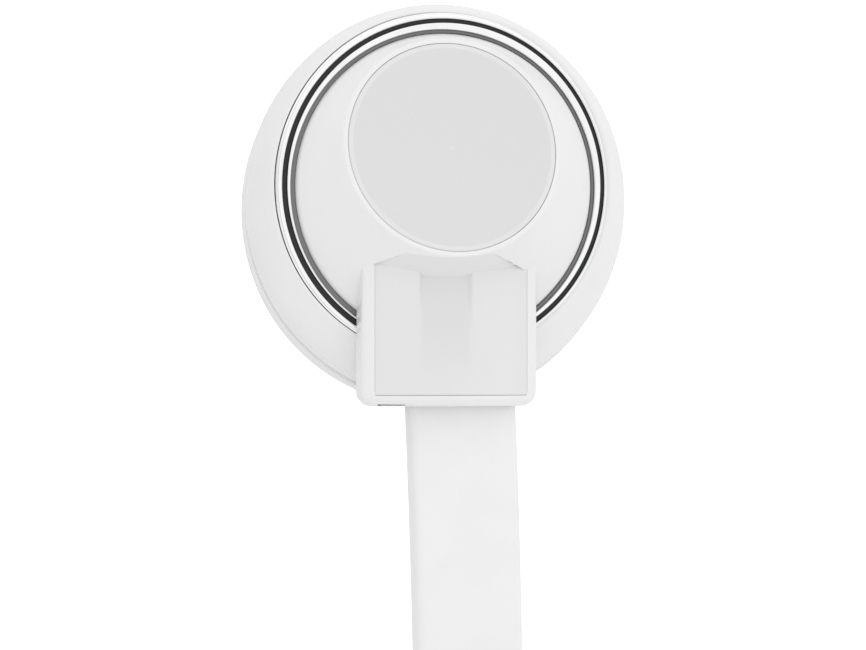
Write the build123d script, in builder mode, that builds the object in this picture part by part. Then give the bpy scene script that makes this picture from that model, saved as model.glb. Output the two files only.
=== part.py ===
from build123d import *
import math
import os

os.makedirs("parts", exist_ok=True)

# In-ear earphones joined by a flat neck cord, laid on a table as they come out of the box: both
# earpieces stand on their ear tips, outer faces up, and the spare cord is wound beside them.
# Millimetres, +Z up, the table at Z = 0. The origin lies midway between the two earpieces.
# Every earpiece part is drawn once, in the left earpiece's frame: its Z axis runs through the
# middle of the chrome ring and its +Y points away from the cord. The right one is its mirror image.

# ---- where the two earpieces stand
earpiece_spacing = 32.0
earpiece_stagger = 5.4

# ---- housing: each level is a circle, and the lower ones sit further towards the cord
ring_height = 11.8
wall = 0.8
small_round = 0.05
rim_radius = 7.3
rear_top_radius = rim_radius - 0.72
rim_drop = 1.2
rim_shift = -0.44
parting_drop = 1.6
parting_radius = rim_radius - 0.08
parting_shift = -0.62
belly_drop = 2.15
belly_radius = rim_radius - 0.1
belly_shift = -1.13
waist_drop = 4.6
waist_radius = rim_radius - 1.3
throat_drop = 5.4
throat_radius = 3.9
cavity_floor_drop = 4.5

# ---- nozzle and ear tip
nozzle_x = 0.9
nozzle_y = -1.6
nozzle_radius = 2.6
nozzle_bore = 1.9
nozzle_end = 2.6
barb_radius = 2.95
barb_low = 3.4
barb_high = 3.9
mesh_radius = 2.2
mesh_thickness = 0.2
tip_radius = 5.8
tip_stem = 3.4
tip_lip = 0.6
tip_fit = 0.06
tip_mouth = 0.3
skirt_rim_top = 5.7
skirt_rim_foot = 5.0
skirt_outer_middle = (4.9, 1.75)
skirt_inner_middle = (4.65, 3.2)
skirt_inner_top = 2.3
nose_edge = 2.7
nose_middle = (2.12, 0.06)

# ---- chrome ring and the seat that holds it
chrome_inner = 5.62
chrome_outer = 6.4
chrome_crown = 0.32
seat_depth = 0.35
seat_bore = 5.35
seat_gap = 0.02

# ---- outer cover: a leaning dome with the button in it
dome_foot_radius = 5.58
cap_radius = 4.12
cap_shift = 1.41
cap_rise = 1.33
cap_lean = 13.0
cap_edge = 0.12
button_radius = 3.98
button_gap = 0.06
button_thickness = 0.5
button_dish = 0.16
button_travel = 0.3
button_floor_gap = 0.36
web_thickness = 0.35
stem_radius = 1.1
stem_reach = 0.95
spigot_radius = 5.3
spigot_drop = 0.95
inner_dome_radius = 4.7

# ---- boot, the block that the cord comes out of
boot_half_width = 3.42
boot_end = rim_shift - rim_radius - 0.6
boot_inner_end = -1.2
boot_lower_start = boot_end + 2.59
boot_side_rise = 0.98
boot_crown_rise = 1.66
boot_corner = 0.6
boot_edge = 0.3
panel_half_width = 2.97
panel_end = boot_end + 0.41
panel_floor_rise = 0.55
panel_gap = 0.05
mic_slot_width = 1.0
mic_slot_height = 0.22
mic_slot_x = -2.2
mic_slot_rise = 0.6

# ---- flat cord and what holds it
cord_width = 4.15
cord_thickness = 1.2
cord_x = 0.67
cord_drop = 0.2
cord_start = boot_end + 1.24
slot_width = 4.7
slot_height = 1.5
clamp_length = 1.0
clamp_margin = 0.12
boot_wall = 0.6

# ---- driver, battery and electronics
core_shift = -1.0
driver_radius = 5.0
driver_low = ring_height - 4.45
driver_height = 1.4
driver_wall = 0.45
diaphragm_thickness = 0.1
magnet_radius = 1.85
coil_radius = 2.05
coil_wall = 0.15
coil_height = 0.7
diaphragm_rise = 0.2
magnet_rise = 0.55
yoke_radius = 2.9
yoke_gap = 0.15
battery_radius = 4.6
battery_height = 1.2
battery_round = 0.25
stack_gap = 0.1
board_radius = 5.0
board_shift = -0.4
board_thickness = 0.5
switch_size = 3.0
charge_pin_radius = 0.5
charge_pin_spacing = 2.2
charge_pin_height = ring_height - 3.2
charge_pin_length = 1.1
mic_width = 0.9
mic_length = 1.1
mic_height = 0.8

# ---- wound cord: flat turns on edge, one beside the next
coil_radius_outside = 23.6
coil_pitch = 1.6
coil_turns = 3
coil_end_degrees = 70.0
coil_x = -2.0
coil_y = -45.5
coil_clearance = 0.15
coil_gap_offset = 0.9
coil_gap_angle = -110
coil_gap_depth = 0.35
lane_length = 10.0
section_step = 1.8

# ---- heights worked out from the values above
parting_height = ring_height - parting_drop
cap_height = ring_height + cap_rise
cord_height = ring_height - cord_drop
housing_back = rim_shift + rim_radius
origin_shift = -(housing_back + boot_end) / 2
left_x = earpiece_spacing / 2
left_y = origin_shift - earpiece_stagger / 2
right_x = -earpiece_spacing / 2
right_y = origin_shift + earpiece_stagger / 2
cap_plane = Plane(
    origin=(0, cap_shift, cap_height),
    x_dir=(1, 0, 0),
    z_dir=(0, math.sin(math.radians(cap_lean)), math.cos(math.radians(cap_lean))),
)

# ---- the cord's route, chosen by hand: down from the left boot to the coil's outer turn, then
# from its inner end round inside the coil, over the turns and up to the right boot
left_route = [
    (left_x + cord_x, left_y + cord_start, cord_height),
    (17.21, -21.46, cord_height),
    (19.4, -31.0, 2.075),
    (21.24, -41.4, 2.075),
]
right_route = [
    (7.24, -61.51, 2.075),
    (3.1, -63.3, 2.075),
    (-3.5, -63.8, 2.075),
    (-9.8, -60.4, 2.075),
    (-14.1, -53.5, 2.075),
    (-15.2, -45.0, 2.2),
    (-15.2, -35.5, 5.4),
    (-15.6, -25.0, 5.4),
    (-16.9, -12.0, cord_height),
    (right_x - cord_x, right_y + cord_start, cord_height),
]
left_twist = (13.5, 25.5)
right_twist = (22.0, 36.0)

rear_levels = [
    (parting_height, 0, parting_shift, parting_radius),
    (ring_height - rim_drop, 0, rim_shift, rim_radius),
    (ring_height, 0, 0, rear_top_radius),
]
front_levels = [
    (parting_height, 0, (parting_shift + belly_shift) / 2, parting_radius),
    (ring_height - belly_drop, 0, belly_shift, belly_radius),
    (ring_height - waist_drop, 0.2, belly_shift - 0.1, waist_radius),
    (ring_height - throat_drop, nozzle_x / 2, (belly_shift + nozzle_y) / 2, throat_radius),
]


def circle_stack(levels, inset=0.0, mode=Mode.ADD):
    """Loft through circles given as (height, centre x, centre y, radius), each one smaller by inset."""
    sections = []
    for height, centre_x, centre_y, radius in levels:
        with BuildSketch(Plane.XY.offset(height)) as section:
            with Locations((centre_x, centre_y)):
                Circle(radius - inset)
        sections.append(section.sketch)
    loft(sections=sections, mode=mode)


def disc(height, thickness, radius, centre=(0.0, 0.0), mode=Mode.ADD, hole=0.0):
    """Add or cut a disc, or a ring when hole is a radius, standing on the given height."""
    with BuildSketch(Plane.XY.offset(height)) as outline:
        with Locations(centre):
            Circle(radius)
            if hole > 0:
                Circle(hole, mode=Mode.SUBTRACT)
    extrude(outline.sketch, amount=thickness, mode=mode)


def block(low, high, mode=Mode.ADD):
    """Add or cut a box between its lowest and highest corners."""
    with BuildSketch(Plane.XY.offset(low[2])) as outline:
        with Locations(((low[0] + high[0]) / 2, (low[1] + high[1]) / 2)):
            Rectangle(high[0] - low[0], high[1] - low[1])
    extrude(outline.sketch, amount=high[2] - low[2], mode=mode)


def crowned_bar(half_width, floor, start, end, mode=Mode.ADD):
    """Add or cut a bar along Y with the boot's crowned top, between two Y positions."""
    crown = boot_crown_rise - boot_side_rise
    curve = (boot_half_width**2 + crown**2) / (2 * crown)
    side = ring_height + boot_crown_rise - curve + math.sqrt(curve**2 - half_width**2)
    with BuildSketch(Plane.XZ.offset(-start)) as outline:
        with BuildLine():
            Polyline((-half_width, side), (-half_width, floor), (half_width, floor), (half_width, side))
            ThreePointArc((half_width, side), (0, ring_height + boot_crown_rise), (-half_width, side))
        make_face()
    extrude(outline.sketch, amount=start - end, mode=mode)


def dome(mode=Mode.ADD):
    """Add or cut the leaning dome, from its foot on the seat up to the edge of the button."""
    with BuildSketch(Plane.XY.offset(ring_height - seat_depth)) as foot:
        Circle(dome_foot_radius)
    with BuildSketch(Plane.XY.offset(ring_height + seat_gap)) as shoulder:
        Circle(dome_foot_radius)
    with BuildSketch(cap_plane) as top:
        Circle(cap_radius + cap_edge)
    loft(sections=[foot.sketch, shoulder.sketch, top.sketch], mode=mode, ruled=True)


# ---------------------------------------------------------------- ear tip and nozzle
tip_plane = Plane(origin=(nozzle_x, nozzle_y, 0), x_dir=(1, 0, 0), z_dir=(0, -1, 0))
tip_axis = Axis((nozzle_x, nozzle_y, 0), (0, 0, 1))
tip_top = ring_height - throat_drop - 0.2
stem_bore = nozzle_radius + tip_fit

with BuildPart() as ear_tip:
    with BuildSketch(tip_plane):
        with BuildLine():
            Line((nozzle_bore, tip_mouth), (nozzle_bore, nozzle_end - 0.1))
            Line((nozzle_bore, nozzle_end - 0.1), (stem_bore, nozzle_end - 0.1))
            Line((stem_bore, nozzle_end - 0.1), (stem_bore, barb_low - tip_fit))
            Line((stem_bore, barb_low - tip_fit), (barb_radius + tip_fit, barb_low - tip_fit))
            Line((barb_radius + tip_fit, barb_low - tip_fit), (barb_radius + tip_fit, barb_high + tip_fit))
            Line((barb_radius + tip_fit, barb_high + tip_fit), (stem_bore, barb_high + tip_fit))
            Line((stem_bore, barb_high + tip_fit), (stem_bore, tip_top))
            Line((stem_bore, tip_top), (tip_stem, tip_top))
            Line((tip_stem, tip_top), (tip_stem, skirt_inner_top))
            ThreePointArc((tip_stem, skirt_inner_top), skirt_inner_middle, (tip_radius - tip_lip, skirt_rim_foot))
            Line((tip_radius - tip_lip, skirt_rim_foot), (tip_radius - tip_lip, skirt_rim_top))
            Line((tip_radius - tip_lip, skirt_rim_top), (tip_radius, skirt_rim_top))
            Line((tip_radius, skirt_rim_top), (tip_radius, skirt_rim_foot))
            ThreePointArc((tip_radius, skirt_rim_foot), skirt_outer_middle, (nose_edge, 0))
            ThreePointArc((nose_edge, 0), nose_middle, (nozzle_bore, tip_mouth))
        make_face()
    revolve(axis=tip_axis)
ear_tip.part.label = "ear_tip"

with BuildPart() as nozzle_mesh:
    disc(nozzle_end, mesh_thickness, mesh_radius - seat_gap, (nozzle_x, nozzle_y))
nozzle_mesh.part.label = "nozzle_mesh"

# ---------------------------------------------------------------- front shell
cavity_floor = ring_height - cavity_floor_drop
pin_y = front_levels[1][2] + belly_radius - 0.35

with BuildPart() as front_shell:
    circle_stack(front_levels)
    disc(nozzle_end, ring_height - throat_drop - nozzle_end + wall, nozzle_radius, (nozzle_x, nozzle_y))
    disc(barb_low, barb_high - barb_low, barb_radius, (nozzle_x, nozzle_y))
    disc(nozzle_end, mesh_thickness, mesh_radius, (nozzle_x, nozzle_y), mode=Mode.SUBTRACT)
    disc(nozzle_end, cavity_floor, nozzle_bore, (nozzle_x, nozzle_y), mode=Mode.SUBTRACT)
    disc(cavity_floor, cavity_floor, driver_radius + seat_gap, (0, core_shift), mode=Mode.SUBTRACT)
    circle_stack(front_levels[:3], wall, mode=Mode.SUBTRACT)
    with BuildSketch(Plane.XZ.offset(-(pin_y + wall))):
        with Locations((-charge_pin_spacing / 2, charge_pin_height), (charge_pin_spacing / 2, charge_pin_height)):
            Circle(charge_pin_radius)
    extrude(amount=2 * wall + charge_pin_length, mode=Mode.SUBTRACT)
front_shell.part.label = "front_shell"

with BuildPart() as charge_pins:
    with BuildSketch(Plane.XZ.offset(-pin_y)):
        with Locations((-charge_pin_spacing / 2, charge_pin_height), (charge_pin_spacing / 2, charge_pin_height)):
            Circle(charge_pin_radius)
    extrude(amount=charge_pin_length)
charge_pins.part.label = "charge_pins"

# ---------------------------------------------------------------- driver
core = (0, core_shift)
driver_top = driver_low + driver_height
yoke_low = driver_low + magnet_rise
yoke_plate = 0.2

with BuildPart() as driver_frame:
    disc(driver_low, driver_height, driver_radius, core, hole=driver_radius - driver_wall)
    disc(driver_top - yoke_plate, yoke_plate, driver_radius, core, hole=yoke_radius)
driver_frame.part.label = "driver_frame"

with BuildPart() as diaphragm:
    disc(driver_low + diaphragm_rise, diaphragm_thickness, driver_radius - driver_wall, core)
diaphragm.part.label = "diaphragm"

with BuildPart() as voice_coil:
    disc(
        driver_low + diaphragm_rise + diaphragm_thickness,
        coil_height,
        coil_radius + coil_wall,
        core,
        hole=coil_radius,
    )
voice_coil.part.label = "voice_coil"

with BuildPart() as magnet:
    disc(yoke_low, driver_top - yoke_plate - yoke_low, magnet_radius, core)
magnet.part.label = "magnet"

with BuildPart() as yoke:
    disc(driver_top - yoke_plate, yoke_plate, yoke_radius, core)
    disc(yoke_low, driver_top - yoke_low, yoke_radius, core, hole=coil_radius + coil_wall + yoke_gap)
yoke.part.label = "yoke"

# ---------------------------------------------------------------- battery and electronics
battery_low = driver_top + stack_gap
board_low = battery_low + battery_height + stack_gap
board_top = board_low + board_thickness

with BuildPart() as battery:
    disc(battery_low, battery_height, battery_radius, core)
    fillet(battery.edges().filter_by(GeomType.CIRCLE), battery_round)
battery.part.label = "battery"

with BuildPart() as circuit_board:
    disc(board_low, board_thickness, board_radius, (0, board_shift))
circuit_board.part.label = "circuit_board"

lean = math.radians(cap_lean)
stem_end_depth = button_thickness + stem_reach
stem_end_y = cap_shift - stem_end_depth * math.sin(lean)
stem_end_z = cap_height - stem_end_depth * math.cos(lean)
switch_top = stem_end_z - (button_travel + 0.05) - stem_radius * math.sin(lean)

with BuildPart() as tact_switch:
    half = switch_size / 2
    block((-half, stem_end_y - half, board_top), (half, stem_end_y + half, switch_top - 0.15))
    disc(switch_top - 0.15, 0.15, stem_radius, (0, stem_end_y))
tact_switch.part.label = "tact_switch"

# ---------------------------------------------------------------- rear shell
with BuildPart() as rear_shell:
    circle_stack(rear_levels)
    fillet(rear_shell.edges().group_by(Axis.Z)[-1], 2 * small_round)
    with BuildSketch(Plane.XY.offset(parting_height)):
        with Locations((0, parting_shift)):
            Circle(parting_radius - wall)
    with BuildSketch(Plane.XY.offset(ring_height - spigot_drop)):
        Circle(rear_top_radius - wall)
    loft(mode=Mode.SUBTRACT)
    disc(parting_height, 2 * parting_drop, seat_bore, mode=Mode.SUBTRACT)
    disc(ring_height - seat_depth, 1, chrome_outer + seat_gap, mode=Mode.SUBTRACT)
    block(
        (-boot_half_width, boot_end, parting_height),
        (boot_half_width, boot_lower_start, ring_height + 1),
        mode=Mode.SUBTRACT,
    )
    block(
        (-boot_half_width, boot_end, ring_height - seat_depth),
        (boot_half_width, boot_inner_end, ring_height + 1),
        mode=Mode.SUBTRACT,
    )
rear_shell.part.label = "rear_shell"

# ---------------------------------------------------------------- chrome ring, open where the boot crosses it
with BuildPart() as chrome_ring:
    seat_height = ring_height - seat_depth
    with BuildSketch(Plane.XZ):
        with BuildLine():
            Polyline(
                (chrome_inner, ring_height + 0.04),
                (chrome_inner, seat_height),
                (chrome_outer, seat_height),
                (chrome_outer, ring_height + 0.04),
            )
            ThreePointArc(
                (chrome_outer, ring_height + 0.04),
                ((chrome_inner + chrome_outer) / 2, ring_height + chrome_crown),
                (chrome_inner, ring_height + 0.04),
            )
        make_face()
    revolve(axis=Axis.Z)
    block(
        (-boot_half_width - seat_gap, boot_end, seat_height - 1),
        (boot_half_width + seat_gap, 0, ring_height + 2),
        mode=Mode.SUBTRACT,
    )
chrome_ring.part.label = "chrome_ring"

# ---------------------------------------------------------------- outer cover: boot and dome in one moulding
bore_depth = button_thickness + button_floor_gap
clamp_low = cord_height - cord_thickness / 2 - clamp_margin
clamp_high = cord_height + cord_thickness / 2 + clamp_margin
pocket_start = cord_start + clamp_length

with BuildPart() as outer_cover:
    crowned_bar(boot_half_width, ring_height - seat_depth, boot_inner_end, boot_end)
    block(
        (-boot_half_width, boot_end, parting_height),
        (boot_half_width, boot_lower_start, ring_height),
    )
    end_edges = outer_cover.edges().filter_by(Axis.Z).group_by(Axis.Y)[0]
    fillet(end_edges, boot_corner)
    fillet(outer_cover.faces().sort_by(Axis.Y)[0].edges().sort_by(Axis.Z)[-1], boot_edge)
    crowned_bar(
        panel_half_width + panel_gap,
        ring_height + panel_floor_rise,
        boot_inner_end,
        panel_end - panel_gap,
        mode=Mode.SUBTRACT,
    )
    dome()
    disc(ring_height - spigot_drop, spigot_drop - seat_depth, spigot_radius)
    # room below the button's web, open to the circuit board
    with BuildSketch(cap_plane.offset(-bore_depth - web_thickness)):
        Circle(3 * cap_radius)
    hollow_top = extrude(amount=-3 * cap_radius, mode=Mode.PRIVATE)
    with BuildSketch(Plane.XY.offset(ring_height - spigot_drop)):
        Circle(inner_dome_radius)
    hollow = extrude(amount=3 * spigot_drop, mode=Mode.PRIVATE)
    add(hollow & hollow_top, mode=Mode.SUBTRACT)
    with BuildSketch(cap_plane):
        Circle(button_radius)
    extrude(amount=-bore_depth, mode=Mode.SUBTRACT)
    with BuildSketch(cap_plane):
        Circle(stem_radius + button_gap)
    extrude(amount=-3 * bore_depth, mode=Mode.SUBTRACT)
    # pocket for the cord's clamp and the microphone, and the slot that the cord leaves by
    block(
        (-boot_half_width + boot_wall, cord_start - clamp_margin, clamp_low),
        (boot_half_width - boot_wall, pocket_start, ring_height + 1),
        mode=Mode.SUBTRACT,
    )
    block(
        (cord_x - slot_width / 2, boot_end - 1, cord_height - slot_height / 2),
        (cord_x + slot_width / 2, cord_start, cord_height + slot_height / 2),
        mode=Mode.SUBTRACT,
    )
    with BuildSketch(Plane.XZ.offset(-(boot_end - 1))):
        with Locations((mic_slot_x, ring_height + mic_slot_rise)):
            SlotOverall(mic_slot_width, mic_slot_height)
    extrude(amount=-(cord_start - boot_end + 1), mode=Mode.SUBTRACT)
outer_cover.part.label = "outer_cover"

# ---------------------------------------------------------------- button
with BuildPart() as button_cap:
    with BuildSketch(cap_plane.offset(-button_thickness)):
        Circle(button_radius - button_gap)
    extrude(amount=button_thickness)
    dish_radius = button_radius - button_gap - cap_edge
    dish_ball = (dish_radius**2 + button_dish**2) / (2 * button_dish)
    fillet(button_cap.edges().filter_by(GeomType.CIRCLE).sort_by(Axis.Z)[-1], small_round)
    with Locations(cap_plane.offset(dish_ball - button_dish).location):
        Sphere(dish_ball, mode=Mode.SUBTRACT)
    with BuildSketch(cap_plane.offset(-button_thickness)):
        Circle(stem_radius)
    extrude(amount=-stem_reach)
button_cap.part.label = "button_cap"

# ---------------------------------------------------------------- boot panel, the glossy plate over the cord
with BuildPart() as boot_panel:
    crowned_bar(panel_half_width, ring_height + panel_floor_rise, boot_inner_end, panel_end)
    fillet(boot_panel.edges().filter_by(Axis.X).sort_by(Axis.Y)[:2].sort_by(Axis.Z)[-1:], small_round)
    dome(mode=Mode.SUBTRACT)
boot_panel.part.label = "boot_panel"

# ---------------------------------------------------------------- what holds the cord, and the microphone
with BuildPart() as cord_clamp:
    block(
        (cord_x - slot_width / 2, cord_start, clamp_low),
        (cord_x + cord_width / 2 - 0.05, pocket_start, clamp_high),
    )
cord_clamp.part.label = "cord_clamp"

with BuildPart() as microphone:
    mic_x = cord_x - slot_width / 2 - 0.1 - mic_width
    block(
        (mic_x, pocket_start - mic_length, clamp_low),
        (mic_x + mic_width, pocket_start, clamp_low + mic_height),
    )
microphone.part.label = "microphone"

earpiece_parts = [
    ear_tip, nozzle_mesh, front_shell, charge_pins, driver_frame, diaphragm, voice_coil, magnet, yoke,
    battery, circuit_board, tact_switch, rear_shell, chrome_ring, outer_cover, button_cap, boot_panel,
    cord_clamp, microphone,
]
for piece in earpiece_parts:
    name = piece.part.label
    left_piece = Pos(left_x, left_y, 0) * piece.part
    left_piece.label = "left_" + name
    export_step(left_piece, "parts/left_" + name + ".step")
    right_piece = Pos(right_x, right_y, 0) * mirror(piece.part, about=Plane.YZ)
    right_piece.label = "right_" + name
    export_step(right_piece, "parts/right_" + name + ".step")


# ---------------------------------------------------------------- flat cord
def corner_radii(route):
    """The largest tidy arc at each corner: 0.45 of the shorter run over the tangent of half the turn."""
    radii = []
    for before, corner, after in zip(route, route[1:], route[2:]):
        run_in = Vector(*corner) - Vector(*before)
        run_out = Vector(*after) - Vector(*corner)
        half_turn = math.radians(run_in.get_angle(run_out)) / 2
        radii.append(0.45 * min(run_in.length, run_out.length) / math.tan(half_turn))
    return radii


def flat_sections(wire, twist_from, twist_to, edge_first):
    """Sections of the flat cord along a wire, turned from flat to on edge between two lengths."""
    count = math.ceil(wire.length / section_step)
    sections = []
    for index in range(count + 1):
        along = wire.length * index / count
        share = min(max((along - twist_from) / (twist_to - twist_from), 0.0), 1.0)
        share = share * share * (3 - 2 * share)
        turn = 90 * (1 - share) if edge_first else 90 * share
        heading = wire.tangent_at(index / count)
        across = Vector(0, 0, 1).cross(heading).normalized()
        width_way = across.rotate(Axis((0, 0, 0), heading), turn)
        with BuildSketch(Plane(wire.position_at(index / count), width_way, heading)) as section:
            Rectangle(cord_width, cord_thickness)
        sections.append(section.sketch)
    return sections


def flat_cord(route, twist_from, twist_to, edge_first):
    """Add the flat cord along a route of straight runs and tangent arcs."""
    radii = corner_radii(route)
    print("cord radii:", [round(radius, 1) for radius in radii])
    with BuildLine() as path:
        FilletPolyline(*route, radius=radii)
    wire = path.wire()
    loft(sections=flat_sections(wire, twist_from, twist_to, edge_first), ruled=True)
    return wire.length


with BuildPart() as cord_left:
    left_length = flat_cord(left_route, *left_twist, edge_first=False)
cord_left.part.label = "cord_left"

with BuildPart() as cord_right:
    right_length = flat_cord(right_route, *right_twist, edge_first=True)
cord_right.part.label = "cord_right"

coil_inner = coil_radius_outside - coil_pitch * (coil_turns + coil_end_degrees / 360)
half_thickness = cord_thickness / 2
lead_heading = Vector(*left_route[-2]) - Vector(*left_route[-1])
start_heading = Vector(*right_route[1]) - Vector(*right_route[0])

with BuildPart() as cord_coil:
    with BuildSketch():
        with Locations((coil_x, coil_y)):
            Circle(coil_radius_outside + half_thickness)
            Circle(coil_inner - half_thickness, mode=Mode.SUBTRACT)
        # the inner turn has left the coil here
        with Locations((coil_x, coil_y)):
            with PolarLocations(coil_gap_offset, 1, start_angle=coil_gap_angle):
                Circle(coil_inner - half_thickness + coil_gap_depth, mode=Mode.SUBTRACT)
    extrude(amount=cord_width)
    for start, heading in ((left_route[-1], lead_heading), (right_route[0], start_heading)):
        lane = Plane((start[0], start[1], 0), x_dir=heading, z_dir=(0, 0, 1))
        with BuildSketch(lane):
            with Locations((lane_length / 2, 0)):
                Rectangle(lane_length, cord_thickness + 2 * coil_clearance)
        extrude(amount=cord_width, mode=Mode.SUBTRACT)
cord_coil.part.label = "cord_coil"

for piece in (cord_left, cord_coil, cord_right):
    export_step(piece.part, "parts/" + piece.part.label + ".step")

coil_length = (coil_radius_outside + coil_inner) * math.pi * (coil_turns + coil_end_degrees / 360)
print("cord length:", round(left_length), "+", round(coil_length), "+", round(right_length), "mm")
for piece, length in ((cord_left, left_length), (cord_right, right_length)):
    print(piece.part.label, "volume ratio", round(piece.part.volume / (cord_width * cord_thickness * length), 3))
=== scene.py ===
"""The finished look of a pair of in-ear earphones joined by a flat neck cord.

Each earpiece is drawn once, in its own frame: Z runs through the middle of the chrome ring, +Y points
away from the cord, and lengths are in millimetres. A piece is moved to its side and turned into metres
when its mesh is made. The right earpiece is the mirror image of the left.
"""

import logging
import math
from dataclasses import astuple, dataclass, field
from enum import Enum
from typing import Any, Callable

import bmesh
import bpy
import numpy as np
from mathutils import Matrix, Vector


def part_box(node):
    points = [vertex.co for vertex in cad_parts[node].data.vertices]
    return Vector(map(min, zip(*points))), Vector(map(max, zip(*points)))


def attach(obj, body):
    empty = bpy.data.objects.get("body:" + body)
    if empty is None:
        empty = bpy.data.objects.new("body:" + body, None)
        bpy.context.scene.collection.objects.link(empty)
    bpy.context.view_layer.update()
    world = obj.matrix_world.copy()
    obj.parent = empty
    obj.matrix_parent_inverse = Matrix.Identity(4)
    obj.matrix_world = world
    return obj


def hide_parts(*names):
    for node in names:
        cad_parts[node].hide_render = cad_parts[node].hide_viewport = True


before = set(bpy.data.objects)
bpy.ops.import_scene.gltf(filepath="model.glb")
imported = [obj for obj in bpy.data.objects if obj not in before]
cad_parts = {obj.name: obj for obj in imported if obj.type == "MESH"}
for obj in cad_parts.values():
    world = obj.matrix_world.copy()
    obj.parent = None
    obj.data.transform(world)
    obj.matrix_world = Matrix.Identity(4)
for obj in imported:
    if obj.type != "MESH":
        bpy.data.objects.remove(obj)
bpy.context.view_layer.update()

LOG = logging.getLogger("earphones")
MM = 0.001
FULL_TURN = 2.0 * math.pi
SHARP_EDGE = math.radians(38.0)


class Side(Enum):
    """The two earpieces, and the factor that mirrors a left-hand shape."""

    LEFT = 1.0
    RIGHT = -1.0

    @property
    def word(self) -> str:
        """The name that pieces of this side start with."""
        return self.name.lower()


# ---------------------------------------------------------------- shader nodes as expressions
class Sock:
    """A node's output that Python's operators turn into Math nodes."""

    def __init__(self, board: "NodeBoard", socket: bpy.types.NodeSocket) -> None:
        """Wrap a socket.

        Args:
            board: The node tree that new nodes are added to.
            socket: The output socket.
        """
        self.board = board
        self.socket = socket

    def math(self, operation: str, *others: "Sock | float") -> "Sock":
        """Add one Math node with this value first.

        Args:
            operation: The Math node's operation.
            others: Its other values.

        Returns:
            The node's result.
        """
        node = self.board.node("ShaderNodeMath", {"operation": operation}, self, *others)
        return Sock(self.board, node.outputs[0])

    def _swapped(self, operation: str, first: float) -> "Sock":
        """A Math node with a plain number first and this value second."""
        node = self.board.node("ShaderNodeMath", {"operation": operation}, first, self)
        return Sock(self.board, node.outputs[0])

    def __add__(self, other: "Sock | float") -> "Sock":
        """Sum."""
        return self.math("ADD", other)

    __radd__ = __add__

    def __mul__(self, other: "Sock | float") -> "Sock":
        """Product."""
        return self.math("MULTIPLY", other)

    __rmul__ = __mul__

    def __sub__(self, other: "Sock | float") -> "Sock":
        """Difference."""
        return self.math("SUBTRACT", other)

    def __rsub__(self, other: float) -> "Sock":
        """A number less this value."""
        return self._swapped("SUBTRACT", other)

    def __truediv__(self, other: "Sock | float") -> "Sock":
        """Quotient."""
        return self.math("DIVIDE", other)

    def __rtruediv__(self, other: float) -> "Sock":
        """A number over this value."""
        return self._swapped("DIVIDE", other)

    def __abs__(self) -> "Sock":
        """Size without sign."""
        return self.math("ABSOLUTE")

    def ramp(self, low: float, high: float) -> "Sock":
        """0 below low, 1 above high and a smooth step between them; low may be the larger."""
        share = ((self - low) / (high - low)).math("MAXIMUM", 0.0).math("MINIMUM", 1.0)
        return share * share * (3.0 - 2.0 * share)


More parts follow.
